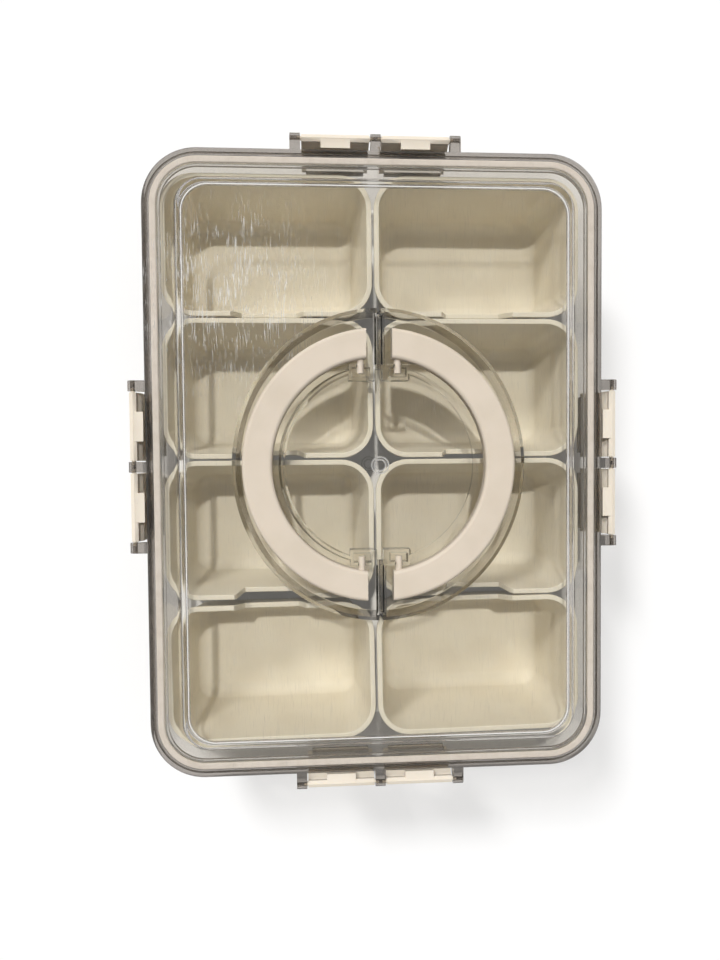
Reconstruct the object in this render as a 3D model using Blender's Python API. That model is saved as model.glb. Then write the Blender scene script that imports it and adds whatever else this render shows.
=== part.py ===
"""Divided snack box: a clear base and lid, eight lift-out cups, a handle in two fold-up halves,
and eight side clips. Metres, +Z up, with the origin under the middle of the base."""

import math

import bmesh
import bpy
from mathutils import Matrix, Vector

MM = 0.001

# Fits between pieces
touch_gap = 0.3 * MM
overrun = 2 * MM

# Outline of the closed lid, seen from above
lid_width = 236 * MM
lid_length = 320 * MM
lid_corner_radius = 28 * MM

# Base box: insets run inward from the lid's outer edge
base_height = 60.5 * MM
base_wall = 2.2 * MM
base_floor = 2.2 * MM
base_draft = math.radians(3)
base_wall_inset = 5 * MM
base_rim_inset = 0.8 * MM
base_rim_thickness = 3 * MM
base_rim_round = 0.8 * MM
base_floor_fillet = 4 * MM
base_bottom_round = 5 * MM

# Sealing ring, in the corner of the lid's skirt and band
gasket_width = 3.7 * MM
gasket_height = 3 * MM
gasket_round = 0.9 * MM

# Lid shell
skirt_wall = 3.3 * MM
band_wall = 2.4 * MM
band_edge_round = 2 * MM
gasket_rib_wall = 1.4 * MM
gasket_rib_height = 2.5 * MM
lid_wall = 2.2 * MM
plateau_rise = 9.5 * MM
plateau_inset = 16.4 * MM
plateau_lean = 2 * MM
plateau_round = 2.4 * MM
plateau_corner_radius = 14 * MM

# Handle halves: two rings cut along the box's middle line
handle_outer_radius = 69 * MM
handle_ring_width = 15.2 * MM
handle_thickness = 8 * MM
handle_edge_round = 2 * MM
handle_corner_radius = 1.4 * MM
handle_ridge_gap = 3.2 * MM
handle_pivot_inset = 2.9 * MM
handle_pin_diameter = 3.6 * MM
handle_pin_end_gap = 1.7 * MM
handle_pin_root = 2 * MM

# Troughs in the lid for the handle halves
trough_side_gap = 2.8 * MM
trough_end_gap = 7.5 * MM
trough_inner_gap = 4.3 * MM
trough_ridge = 6.6 * MM
trough_lean = 1.6 * MM
trough_floor_gap = 0.7 * MM
trough_floor_round = 0.9 * MM
trough_corner_radius = 2.2 * MM

# Pivot sockets of the handle halves
socket_past_pivot = 6 * MM
socket_depth = 8 * MM
socket_ring_gap = 3.2 * MM
socket_drop = 0.5 * MM
socket_pin_gap = 0.3 * MM
socket_snap = 0.4 * MM
pocket_side_wall = 1.7 * MM
pocket_end_wall = 1.7 * MM
pocket_floor_wall = 1.2 * MM

# Clips and their knuckles, two clips between three knuckles on each side
clip_length = 34.6 * MM
clip_end_gap = 0.5 * MM
clip_axis_out = 6 * MM
clip_barrel_diameter = 4 * MM
clip_barrel_start_angle = math.radians(215)
clip_barrel_end_angle = math.radians(-20)
clip_pin_diameter = 2.2 * MM
clip_pin_spacing = 2 * MM
clip_plate = 2.4 * MM
clip_plate_shift = 2.2 * MM
clip_grip_length = 7.4 * MM
clip_grip_flare = 2.6 * MM
clip_grip_tip = 1.9 * MM
clip_edge_round = 0.6 * MM
clip_tab_length = 15 * MM
clip_tab_gap = 0.8 * MM
clip_tab_rise = 1.7 * MM
clip_tab_drop = 1.2 * MM
knuckle_length = 5.4 * MM
knuckle_diameter = 5.2 * MM
knuckle_foot_gap = 0.1 * MM
knuckle_root = 1.5 * MM
knuckle_hole_gap = 0.3 * MM

# Catch of each clip under its latch rib on the base
catch_drop = 13.5 * MM
catch_slope = math.radians(50)
catch_overlap = 1.5 * MM
catch_thickness = 1.6 * MM
latch_rib_length = 30 * MM
latch_rib_out = 3.6 * MM
latch_rib_face = 2 * MM
latch_rib_root = 1 * MM

# Lift-out cups, with the play that they have in the base; shares say how far they have slid
cup_columns = 2
cup_rows = 4
cup_side_play = 1.9 * MM
cup_end_play = 5.6 * MM
cups_left_share = 0.7
cups_back_share = 0.43
front_cups_turn_angle = math.radians(0.7)
front_right_cup_back = 1.6 * MM
cup_rim_drop = 2 * MM
cup_corner_radius = 17 * MM
cup_wall = 1.8 * MM
cup_floor = 1.8 * MM
cup_lean = 6.4 * MM
cup_lip_width = 0.9 * MM
cup_lip_height = 2 * MM
cup_lip_round = 0.5 * MM
cup_bottom_round = 8 * MM
cup_notch_width = 28.6 * MM
cup_notch_ramp = 4.8 * MM
cup_notch_depth = 13 * MM
cup_column_gap = 1.2 * MM
cup_row_gap = 0.9 * MM
front_row_gap = 2.8 * MM

# Facets
rim_corner_steps = 7
cup_corner_steps = 5
fillet_steps = 2
small_round = 1 * MM
handle_arc_steps = 22
barrel_steps = 4
pin_sides = 12
notch_steps = 3
smooth_angle = math.radians(35)

# Worked out from the sizes above; the lid's own heights start at its seat on the base
lid_half_x = lid_width / 2
lid_half_y = lid_length / 2
lid_seat = base_height + touch_gap
band_underside = gasket_height + touch_gap
band_top = band_underside + band_wall
plateau_top = band_top + plateau_rise
plateau_underside = plateau_top - lid_wall

handle_inner_radius = handle_outer_radius - handle_ring_width
handle_end_x = trough_ridge / 2 + handle_ridge_gap
pivot_x = handle_end_x + handle_pivot_inset
pivot_height = plateau_top - handle_thickness / 2
trough_half_width = handle_outer_radius + trough_side_gap
trough_half_length = handle_outer_radius + trough_end_gap
trough_island_radius = handle_inner_radius - trough_inner_gap
trough_floor = plateau_top - handle_thickness - trough_floor_gap

socket_far = handle_inner_radius - socket_ring_gap
socket_near = socket_far - socket_depth
socket_end = pivot_x + socket_past_pivot
socket_hole_diameter = handle_pin_diameter + 2 * socket_pin_gap
socket_slot_width = handle_pin_diameter - socket_snap
handle_pin_reach = socket_near + pocket_end_wall + handle_pin_end_gap

clip_pitch = (knuckle_length + clip_length) / 2 + clip_end_gap
clip_axis_height = knuckle_diameter / 2 + knuckle_foot_gap
clip_axis_z = lid_seat + clip_axis_height
clip_pin_length = clip_end_gap + (knuckle_length - clip_pin_spacing) / 2
clip_tab_reach = clip_axis_out - clip_tab_gap

base_room_x = lid_width - 2 * (base_wall_inset + base_wall)
base_room_y = lid_length - 2 * (base_wall_inset + base_wall)
cup_row_gaps = [cup_row_gap] * (cup_rows - 1)
cup_row_gaps[-1] = front_row_gap
cup_width = (base_room_x - 2 * cup_side_play - (cup_columns - 1) * cup_column_gap) / cup_columns
cup_length = (base_room_y - 2 * cup_end_play - sum(cup_row_gaps)) / cup_rows
cup_height = base_height - base_floor - touch_gap - cup_rim_drop
cups_to_left = cups_left_share * cup_side_play
cups_to_back = cups_back_share * cup_end_play

SIDES = {
    "back": (0, lid_half_y),
    "left": (90, lid_half_x),
    "front": (180, lid_half_y),
    "right": (270, lid_half_x),
}


def material(name, color, roughness, transmission=0):
    """Principled material; color is linear RGB."""
    made = bpy.data.materials.new(name)
    made.use_nodes = True
    shader = made.node_tree.nodes["Principled BSDF"]
    shader.inputs["Base Color"].default_value = (*color, 1)
    shader.inputs["Roughness"].default_value = roughness
    shader.inputs["Metallic"].default_value = 0
    shader.inputs["Transmission Weight"].default_value = transmission
    return made


def add_object(name, bm, finish=None, parent=None, location=(0, 0, 0), turn=0, hidden=False):
    """Turn a bmesh into an object; a hidden one is only a tool for a Boolean."""
    bmesh.ops.recalc_face_normals(bm, faces=bm.faces)
    mesh = bpy.data.meshes.new(name)
    bm.to_mesh(mesh)
    bm.free()
    mesh.shade_smooth()
    mesh.set_sharp_from_angle(angle=smooth_angle)
    made = bpy.data.objects.new(name, mesh)
    bpy.context.scene.collection.objects.link(made)
    made.parent = parent
    made.location = location
    made.rotation_euler.z = turn
    if finish:
        mesh.materials.append(finish)
    if hidden:
        made.hide_render = True
        made.display_type = "WIRE"
    return made


def boolean(target, tool, operation):
    step = target.modifiers.new(tool.name, "BOOLEAN")
    step.operation = operation
    step.solver = "EXACT"
    step.object = tool


def filleted(corners, steps, closed=True):
    """Polygon corners (x, y, radius) as points, each corner with a radius turned into an arc.

    A small round is a plain chamfer.
    """
    points = []
    count = len(corners)
    for i, (x, y, radius) in enumerate(corners):
        here = Vector((x, y))
        end_of_open = not closed and i in (0, count - 1)
        if radius <= 0 or end_of_open:
            points.append(here)
            continue
        before = Vector(corners[i - 1][:2]) - here
        after = Vector(corners[(i + 1) % count][:2]) - here
        half_angle = before.angle(after) / 2
        reach = radius / math.tan(half_angle)
        start = here + before.normalized() * reach
        end = here + after.normalized() * reach
        middle = (before.normalized() + after.normalized()).normalized()
        centre = here + middle * (radius / math.sin(half_angle))
        sweep = (start - centre).angle_signed(end - centre)
        turns = steps if radius > small_round else 1
        for step in range(turns + 1):
            turned = Matrix.Rotation(-sweep * step / turns, 2) @ (start - centre)
            points.append(centre + turned)
    return points


def rectangle(half_x, half_y, radius, steps, stations=()):
    """Rounded rectangle, anticlockwise, with extra points at the x stations on its -Y side."""
    corners = [(-half_x, -half_y, radius)]
    corners += [(x, -half_y, 0) for x in stations]
    corners += [(half_x, -half_y, radius), (half_x, half_y, radius), (-half_x, half_y, radius)]
    return filleted(corners, steps)


def loft(sections):
    """Skin closed sections of equally many 3-D points, and cap both ends."""
    bm = bmesh.new()
    rings = [[bm.verts.new(point) for point in section] for section in sections]
    for ring, following in zip(rings, rings[1:]):
        for i, corner in enumerate(ring):
            j = (i + 1) % len(ring)
            bm.faces.new((corner, ring[j], following[j], following[i]))
    bm.faces.new(reversed(rings[0]))
    bm.faces.new(rings[-1])
    return bm


def at_height(outline, z):
    return [(x, y, z) for x, y in outline]


def prism(outline, z_low, z_high):
    return loft([at_height(outline, z_low), at_height(outline, z_high)])


def box(low, high):
    (x0, y0, z0), (x1, y1, z1) = low, high
    return prism([(x0, y0), (x1, y0), (x1, y1), (x0, y1)], z0, z1)


def merge(parts):
    """Put several bmeshes in one; they stay separate bodies."""
    whole = bmesh.new()
    for part in parts:
        mesh = bpy.data.meshes.new("part")
        part.to_mesh(mesh)
        part.free()
        whole.from_mesh(mesh)
        bpy.data.meshes.remove(mesh)
    return whole


def moved(bm, matrix):
    bmesh.ops.transform(bm, matrix=matrix, verts=bm.verts)
    return bm


def cylinder(diameter, start, end):
    """Round pin from start to end."""
    start = Vector(start)
    end = Vector(end)
    axis = end - start
    bm = bmesh.new()
    bmesh.ops.create_cone(
        bm,
        cap_ends=True,
        segments=pin_sides,
        radius1=diameter / 2,
        radius2=diameter / 2,
        depth=axis.length,
    )
    turn = Vector((0, 0, 1)).rotation_difference(axis).to_matrix().to_4x4()
    return moved(bm, Matrix.Translation((start + end) / 2) @ turn)


def sweep_round_rim(profile, least_radius=0):
    """Sweep a profile of (inset, z) points round the lid's outline, and cap its two ends."""
    sections = []
    for inset, z in profile:
        radius = max(lid_corner_radius - inset, least_radius)
        outline = rectangle(lid_half_x - inset, lid_half_y - inset, radius, rim_corner_steps)
        sections.append(at_height(outline, z))
    return loft(sections)


def on_side(bm, side):
    """Turn a shape modelled on the back edge, with +Y outward, to one of the four sides."""
    degrees, half = SIDES[side]
    place = Matrix.Rotation(math.radians(degrees), 4, "Z") @ Matrix.Translation((0, half, 0))
    return moved(bm, place)


def extrude_along_side(outline, centre, length):
    """Prism of an outline of (outward, z) points, extruded along the side about centre."""
    left = [(centre - length / 2, y, z) for y, z in outline]
    right = [(centre + length / 2, y, z) for y, z in outline]
    return loft([left, right])


def base_inset(z):
    """Inset of the base's outer wall at height z."""
    return base_wall_inset + (base_height - z) * math.tan(base_draft)


def latch_rib_face_out():
    """How far a latch rib's outer face lies outward from the lid's edge; it is less than none."""
    return latch_rib_out - base_inset(clip_axis_z - catch_drop)


def latch_rib_outline():
    """Section of a latch rib: (outward from the lid's edge, z)."""
    low = clip_axis_z - catch_drop
    out = latch_rib_face_out()
    wall = -base_inset(low) - latch_rib_root
    slope_run = catch_overlap + touch_gap
    slope_fall = slope_run * math.tan(catch_slope)
    top_rise = latch_rib_out * math.tan(catch_slope) / 2
    return [
        (wall, low - slope_fall),
        (out - slope_run, low - slope_fall),
        (out, low),
        (out, low + latch_rib_face),
        (wall, low + latch_rib_face + top_rise),
    ]


def build_base(finish):
    inner_low = base_inset(base_floor) + base_wall
    inner_top = base_wall_inset + base_wall
    underside = base_height - base_rim_thickness
    corners = [
        (inner_low + base_floor_fillet + overrun, base_floor, 0),
        (inner_low, base_floor, base_floor_fillet),
        (inner_top, base_height, 0),
        (base_rim_inset, base_height, base_rim_round),
        (base_rim_inset, underside, base_rim_round),
        (base_inset(underside), underside, base_rim_round),
        (base_inset(0), 0, base_bottom_round),
        (base_inset(0) + base_bottom_round + overrun, 0, 0),
    ]
    profile = filleted(corners, fillet_steps, closed=False)
    base = add_object("base_box", sweep_round_rim(profile), finish)
    ribs = []
    for side in SIDES:
        for centre in (-clip_pitch, clip_pitch):
            rib = extrude_along_side(latch_rib_outline(), centre, latch_rib_length)
            ribs.append(on_side(rib, side))
    boolean(base, add_object("latch_ribs", merge(ribs), hidden=True), "UNION")
    return base


def lid_profile():
    """Lid section from the raised middle's underside, round the skirt, to its top."""
    groove = skirt_wall + gasket_width + 2 * touch_gap
    rib_end = groove + gasket_rib_wall
    rib_tip = band_underside - gasket_rib_height
    inner_foot = plateau_inset + lid_wall
    inner_top = plateau_inset + plateau_lean + lid_wall
    outer_top = plateau_inset + plateau_lean
    round_end = plateau_round + overrun
    corners = [
        (inner_top + round_end, plateau_underside, 0),
        (inner_top, plateau_underside, plateau_round),
        (inner_foot, band_underside, plateau_round),
        (rib_end, band_underside, 0),
        (rib_end, rib_tip, 0),
        (groove, rib_tip, 0),
        (groove, band_underside, 0),
        (skirt_wall, band_underside, 0),
        (skirt_wall, 0, 0),
        (0, 0, 0),
        (0, band_top, band_edge_round),
        (plateau_inset, band_top, plateau_round),
        (outer_top, plateau_top, plateau_round),
        (outer_top + round_end, plateau_top, 0),
    ]
    return filleted(corners, fillet_steps, closed=False)


def half_ring(outer_x, outer_y, inner, flat, corner):
    """Outline of the half ring on the -X side: elliptic outside, round inside, flat ends."""
    first = math.asin(flat / outer_x)
    second = math.asin(flat / inner)
    corners = []
    for step in range(handle_arc_steps + 1):
        angle = first + (math.pi - 2 * first) * step / handle_arc_steps
        at_end = step in (0, handle_arc_steps)
        corners.append(
            (-outer_x * math.sin(angle), outer_y * math.cos(angle), corner if at_end else 0)
        )
    for step in range(handle_arc_steps + 1):
        angle = math.pi - second - (math.pi - 2 * second) * step / handle_arc_steps
        at_end = step in (0, handle_arc_steps)
        corners.append(
            (-inner * math.sin(angle), inner * math.cos(angle), corner if at_end else 0)
        )
    return filleted(corners, fillet_steps)


def trough_outline(grow):
    return half_ring(
        trough_half_width + grow,
        trough_half_length + grow,
        trough_island_radius - grow,
        trough_ridge / 2 - grow,
        trough_corner_radius,
    )


def both_halves(bm):
    """The shape and its mirror image across the box's middle line."""
    other = bm.copy()
    moved(other, Matrix.Scale(-1, 4, (1, 0, 0)))
    bmesh.ops.reverse_faces(other, faces=other.faces)
    return merge([bm, other])


def all_quarters(bm):
    other = bm.copy()
    moved(other, Matrix.Scale(-1, 4, (0, 1, 0)))
    bmesh.ops.reverse_faces(other, faces=other.faces)
    return both_halves(merge([bm, other]))


def trough_space():
    """What the troughs leave open: leaning walls, a rounded floor edge and an open top."""
    round_off = trough_floor_round
    levels = [
        (-trough_lean - round_off, trough_floor),
        (-trough_lean, trough_floor + round_off),
        (0, plateau_top),
        (0, plateau_top + overrun),
    ]
    sections = [at_height(trough_outline(grow), z) for grow, z in levels]
    return loft(sections)


def trough_tub():
    """Walls and floor round a trough, up into the lid's top wall."""
    levels = [
        (-trough_lean + lid_wall - trough_floor_round, trough_floor - lid_wall),
        (-trough_lean + lid_wall, trough_floor - lid_wall + trough_floor_round),
        (lid_wall, plateau_top - lid_wall / 2),
    ]
    sections = [at_height(trough_outline(grow), z) for grow, z in levels]
    return loft(sections)


def knuckle_outline():
    """Section of a clip knuckle: a lug with a round end about the clip's axis."""
    radius = knuckle_diameter / 2
    points = [
        (-knuckle_root, clip_axis_height + radius),
        (-knuckle_root, clip_axis_height - radius),
    ]
    turns = 2 * barrel_steps
    for step in range(turns + 1):
        angle = math.pi * (step / turns - 1 / 2)
        y = clip_axis_out + radius * math.cos(angle)
        points.append((y, clip_axis_height + radius * math.sin(angle)))
    return points


def build_lid(finish):
    lid = add_object(
        "lid_shell", sweep_round_rim(lid_profile(), plateau_corner_radius), finish,
        location=(0, 0, lid_seat),
    )

    def tool(name, bm):
        return add_object(name, bm, parent=lid, hidden=True)

    boolean(lid, tool("trough_tubs", both_halves(trough_tub())), "UNION")
    boolean(lid, tool("trough_spaces", both_halves(trough_space())), "DIFFERENCE")

    # A socket block starts inside the ridge between the troughs
    socket = box(
        (trough_ridge / 4, socket_near, trough_floor - lid_wall + socket_drop),
        (socket_end, socket_far, plateau_top - socket_drop),
    )
    boolean(lid, tool("socket_blocks", all_quarters(socket)), "UNION")
    pocket_far = socket_far - pocket_end_wall
    pocket = box(
        (
            handle_end_x - pocket_side_wall,
            socket_near + pocket_end_wall,
            trough_floor + pocket_floor_wall,
        ),
        (socket_end - pocket_side_wall, pocket_far, plateau_top + overrun),
    )
    boolean(lid, tool("socket_pockets", all_quarters(pocket)), "DIFFERENCE")
    hole_start = (pivot_x, pocket_far - overrun / 2, pivot_height)
    hole_end = (pivot_x, socket_far + overrun / 2, pivot_height)
    hole = cylinder(socket_hole_diameter, hole_start, hole_end)
    boolean(lid, tool("pin_holes", all_quarters(hole)), "DIFFERENCE")
    slot = box(
        (pivot_x - socket_slot_width / 2, hole_start[1], pivot_height),
        (pivot_x + socket_slot_width / 2, hole_end[1], plateau_top + overrun),
    )
    boolean(lid, tool("pin_slots", all_quarters(slot)), "DIFFERENCE")

    knuckles = []
    holes = []
    for side in SIDES:
        for centre in (-2 * clip_pitch, 0, 2 * clip_pitch):
            lug = extrude_along_side(knuckle_outline(), centre, knuckle_length)
            knuckles.append(on_side(lug, side))
            reach = knuckle_length / 2 + overrun / 2
            hole = cylinder(
                clip_pin_diameter + 2 * knuckle_hole_gap,
                (centre - reach, clip_axis_out, clip_axis_height),
                (centre + reach, clip_axis_out, clip_axis_height),
            )
            holes.append(on_side(hole, side))
    boolean(lid, tool("knuckles", merge(knuckles)), "UNION")
    boolean(lid, tool("knuckle_holes", merge(holes)), "DIFFERENCE")
    return lid


def build_gasket(lid, finish):
    near = skirt_wall + touch_gap
    far = near + gasket_width
    corners = [
        (near, 0, gasket_round),
        (far, 0, gasket_round),
        (far, gasket_height, gasket_round),
        (near, gasket_height, gasket_round),
    ]
    bm = bmesh.new()
    rings = []
    for inset, z in filleted(corners, fillet_steps):
        outline = rectangle(
            lid_half_x - inset, lid_half_y - inset, lid_corner_radius - inset, rim_corner_steps
        )
        rings.append([bm.verts.new(point) for point in at_height(outline, z)])
    for ring, following in zip(rings, rings[1:] + rings[:1]):
        for i, corner in enumerate(ring):
            j = (i + 1) % len(ring)
            bm.faces.new((corner, ring[j], following[j], following[i]))
    return add_object("lid_gasket", bm, finish, parent=lid)


def handle_body():
    """Half ring with rounded edges, its pivot pins still separate, in the lid's frame."""
    bottom = plateau_top - handle_thickness
    corners = [
        (handle_thickness, 0, 0),
        (0, 0, handle_edge_round),
        (0, handle_thickness, handle_edge_round),
        (handle_thickness, handle_thickness, 0),
    ]
    sections = []
    for inset, rise in filleted(corners, fillet_steps, closed=False)[1:-1]:
        outline = half_ring(
            handle_outer_radius - inset,
            handle_outer_radius - inset,
            handle_inner_radius + inset,
            handle_end_x + inset,
            handle_corner_radius,
        )
        sections.append(at_height(outline, bottom + rise))
    return loft(sections)


def build_handle(name, lid, finish, mirror):
    """One half of the handle, with its origin on its pivot axis."""
    root = math.sqrt(handle_inner_radius**2 - pivot_x**2) + handle_pin_root
    pins = [
        cylinder(
            handle_pin_diameter,
            (-pivot_x, end * root, pivot_height),
            (-pivot_x, end * handle_pin_reach, pivot_height),
        )
        for end in (-1, 1)
    ]
    shapes = [handle_body(), merge(pins)]
    side = -1
    if mirror:
        side = 1
        for bm in shapes:
            moved(bm, Matrix.Scale(-1, 4, (1, 0, 0)))
    pivot = Vector((side * pivot_x, 0, pivot_height))
    for bm in shapes:
        moved(bm, Matrix.Translation(-pivot))
    handle = add_object(name, shapes[0], finish, parent=lid, location=pivot)
    tool = add_object(name + "_pins", shapes[1], parent=handle, hidden=True)
    boolean(handle, tool, "UNION")


def clip_outline():
    """Section of a clip about its axis: (outward, z), barrel on top, catch and grip below."""
    radius = clip_barrel_diameter / 2
    inner = -clip_plate_shift - clip_plate / 2
    outer = inner + clip_plate
    slope = math.tan(catch_slope)
    gap_fall = touch_gap / math.cos(catch_slope)
    rib_face = latch_rib_face_out() - clip_axis_out
    tip = rib_face - catch_overlap
    tip_top = -catch_drop - catch_overlap * slope - gap_fall
    ledge = rib_face + touch_gap
    ledge_top = -catch_drop + touch_gap * slope - gap_fall
    root_low = tip_top - catch_thickness - clip_plate / 2
    foot = root_low - clip_grip_length
    grip_start = (root_low + foot) / 2
    barrel = []
    for step in range(barrel_steps + 1):
        turned = (clip_barrel_end_angle - clip_barrel_start_angle) * step / barrel_steps
        angle = clip_barrel_start_angle + turned
        barrel.append((radius * math.cos(angle), radius * math.sin(angle), 0))
    lower = [
        (outer, -clip_plate_shift - radius, clip_edge_round),
        (outer, grip_start, clip_edge_round),
        (outer + clip_grip_flare, foot, clip_edge_round),
        (outer + clip_grip_flare - clip_grip_tip, foot, clip_edge_round),
        (inner, root_low, clip_edge_round / 2),
        (tip, tip_top - catch_thickness, clip_edge_round / 2),
        (tip, tip_top, clip_edge_round / 2),
        (ledge, ledge_top, 0),
        (inner, ledge_top, 0),
        (inner, -clip_plate_shift - radius, clip_edge_round),
    ]
    return filleted(barrel + lower, 1)


def build_clip(name, lid, finish, side, centre):
    """One clip, modelled on its own axis and turned to its side of the lid."""
    body = extrude_along_side(clip_outline(), 0, clip_length)
    tab = box(
        (-clip_tab_length / 2, -clip_tab_reach, -clip_tab_drop),
        (clip_tab_length / 2, 0, clip_tab_rise),
    )
    pin_end = clip_length / 2 + clip_pin_length
    pin = cylinder(clip_pin_diameter, (-pin_end, 0, 0), (pin_end, 0, 0))
    degrees, half = SIDES[side]
    turn = math.radians(degrees)
    along = Vector((centre, half + clip_axis_out, clip_axis_height))
    place = Matrix.Rotation(turn, 3, "Z") @ along
    clip = add_object(name, body, finish, parent=lid, location=place, turn=turn)
    for tool_name, bm in (("tab", tab), ("pins", pin)):
        tool = add_object(name + "_" + tool_name, bm, parent=clip, hidden=True)
        boolean(clip, tool, "UNION")


def notch_fall(x):
    """How much lower the cup's rim is at x on its notched side."""
    past = (abs(x) - cup_notch_width / 2) / cup_notch_ramp
    share = min(max(past, 0), 1)
    return cup_notch_depth * (1 - share * share * (3 - 2 * share))


def cup_shape():
    """One cup, standing on z = 0, with its finger notch on the -Y side."""
    lean = cup_lean / cup_height
    outer_low = cup_lip_width + cup_lean
    inner_low = outer_low + cup_wall - cup_floor * lean
    inner_top = cup_lip_width + cup_wall
    lip_low = cup_height - cup_lip_height
    wall_under_lip = cup_lip_width + cup_lip_height * lean
    inner_round = cup_bottom_round - cup_wall / 2
    corners = [
        (inner_low + inner_round + overrun, cup_floor, 0),
        (inner_low, cup_floor, inner_round),
        (inner_top, cup_height, cup_lip_round),
        (0, cup_height, cup_lip_round),
        (0, lip_low, 0),
        (wall_under_lip, lip_low, 0),
        (outer_low, 0, cup_bottom_round),
        (outer_low + cup_bottom_round + overrun, 0, 0),
    ]
    ramp_start = cup_notch_width / 2
    right = [ramp_start + cup_notch_ramp * step / notch_steps for step in range(notch_steps + 1)]
    stations = [-x for x in reversed(right)] + right
    notch_side = -cup_length / 2 + cup_corner_radius
    sections = []
    for inset, z in filleted(corners, fillet_steps, closed=False):
        radius = max(cup_corner_radius - inset, cup_bottom_round)
        outline = rectangle(
            cup_width / 2 - inset, cup_length / 2 - inset, radius, cup_corner_steps, stations
        )
        section = []
        for x, y in outline:
            fall = 0
            if z > cup_height / 2 and y < notch_side:
                fall = notch_fall(x)
            section.append((x, y + fall * lean, z - fall))
        sections.append(section)
    return loft(sections)


def cup_row_places():
    """Y of each row, back row first."""
    place = (base_room_y - cup_length) / 2 - cup_end_play + cups_to_back
    places = [place]
    for gap in cup_row_gaps:
        place -= cup_length + gap
        places.append(place)
    return places


def build_cups(base, finish):
    """Two columns of cups; the front row is turned round, so its notches face back.

    The front cups have room to spare and stand a little askew.
    """
    shared = add_object("cup_left_1", cup_shape(), finish, parent=base)
    column_x = (cup_width + cup_column_gap) / 2
    for column, side in (("left", -1), ("right", 1)):
        for row, y in enumerate(cup_row_places()):
            cup = shared
            name = f"cup_{column}_{row + 1}"
            if name != shared.name:
                cup = bpy.data.objects.new(name, shared.data)
                bpy.context.scene.collection.objects.link(cup)
                cup.parent = base
            if row == cup_rows - 1:
                cup.rotation_euler.z = math.pi + front_cups_turn_angle
                if column == "right":
                    y += front_right_cup_back
            cup.location = (side * column_x - cups_to_left, y, base_floor + touch_gap)


def main():
    for old in list(bpy.data.objects):
        bpy.data.objects.remove(old)
    clear = material("clear plastic", (0.92, 0.92, 0.91), 0.06, transmission=1)
    cream = material("cream plastic", (0.78, 0.72, 0.58), 0.38)
    ivory = material("ivory plastic", (0.84, 0.78, 0.68), 0.42)
    silicone = material("white silicone", (0.8, 0.74, 0.71), 0.6)
    base = build_base(clear)
    build_cups(base, cream)
    lid = build_lid(clear)
    build_gasket(lid, silicone)
    build_handle("handle_left", lid, ivory, mirror=False)
    build_handle("handle_right", lid, ivory, mirror=True)
    for side in SIDES:
        build_clip(f"clip_{side}_1", lid, ivory, side, -clip_pitch)
        build_clip(f"clip_{side}_2", lid, ivory, side, clip_pitch)


main()
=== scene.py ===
"""Looks of the divided snack box: clear base and lid, cream cups, split handle and side clips."""

import math

import bmesh
import bpy
from mathutils import Matrix, Vector


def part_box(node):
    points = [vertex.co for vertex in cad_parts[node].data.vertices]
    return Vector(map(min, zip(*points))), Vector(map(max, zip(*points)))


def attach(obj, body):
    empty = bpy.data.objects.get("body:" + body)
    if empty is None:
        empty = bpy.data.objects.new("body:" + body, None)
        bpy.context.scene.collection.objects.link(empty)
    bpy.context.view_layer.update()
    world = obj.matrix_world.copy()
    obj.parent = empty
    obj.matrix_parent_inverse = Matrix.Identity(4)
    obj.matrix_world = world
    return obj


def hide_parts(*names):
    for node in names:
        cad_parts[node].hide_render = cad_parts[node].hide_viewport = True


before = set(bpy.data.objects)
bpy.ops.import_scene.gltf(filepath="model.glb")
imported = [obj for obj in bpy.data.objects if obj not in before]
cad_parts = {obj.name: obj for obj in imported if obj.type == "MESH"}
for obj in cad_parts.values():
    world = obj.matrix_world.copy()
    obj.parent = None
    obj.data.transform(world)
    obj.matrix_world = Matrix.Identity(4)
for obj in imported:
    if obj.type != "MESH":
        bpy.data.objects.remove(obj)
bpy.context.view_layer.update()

MM = 0.001
SIDES = {"back": 0, "left": 90, "front": 180, "right": 270}
CUPS = [f"cup_{column}_{row}" for column in ("left", "right") for row in (1, 2, 3, 4)]
CLIPS = [f"clip_{side}_{count}" for side in SIDES for count in (1, 2)]

# Places that the frame gives
lid_low, lid_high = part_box("lid_shell")
seal_low, seal_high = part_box("lid_gasket")
lid_seat = lid_low.z
plateau_top = lid_high.z
base_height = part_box("base_box")[1].z

# Gap between pieces, the least rounding, and how far a cutting shape runs past a face
fit_gap = 0.3 * MM
small_round = 0.3 * MM
overrun = 2 * MM

# Lid shell; insets run inward from its outer edge
skirt_wall = 3.3 * MM
lid_half_x = seal_high.x + skirt_wall + fit_gap
lid_half_y = seal_high.y + skirt_wall + fit_gap
lid_corner_radius = 28 * MM
band_wall = 2.4 * MM
band_edge_round = 2 * MM
seal_width = 3.7 * MM
seal_round = 0.9 * MM
seal_rib_wall = 1.4 * MM
seal_rib_height = 2.5 * MM
lid_wall = 2.2 * MM
plateau_inset = 16.4 * MM
plateau_lean = 2 * MM
plateau_round = 2 * MM
plateau_corner_radius = 14 * MM
band_underside = seal_high.z + fit_gap
band_top = band_underside + band_wall
mark_radius = 4.2 * MM
mark_width = 0.7 * MM
mark_height = 0.25 * MM

# Base box
base_wall = 2.2 * MM
base_floor = 2.2 * MM
base_draft = math.radians(3)
base_wall_inset = 5 * MM
base_rim_inset = 0.8 * MM
base_rim_thickness = 3 * MM
base_rim_round = 0.8 * MM
base_floor_round = 4 * MM
base_bottom_round = 5 * MM
latch_rib_length = 30 * MM
latch_rib_out = 3.6 * MM
latch_rib_face = 2 * MM
latch_rib_root = 1 * MM
catch_drop = 13.5 * MM
catch_slope = math.radians(50)
catch_overlap = 1.5 * MM

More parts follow.
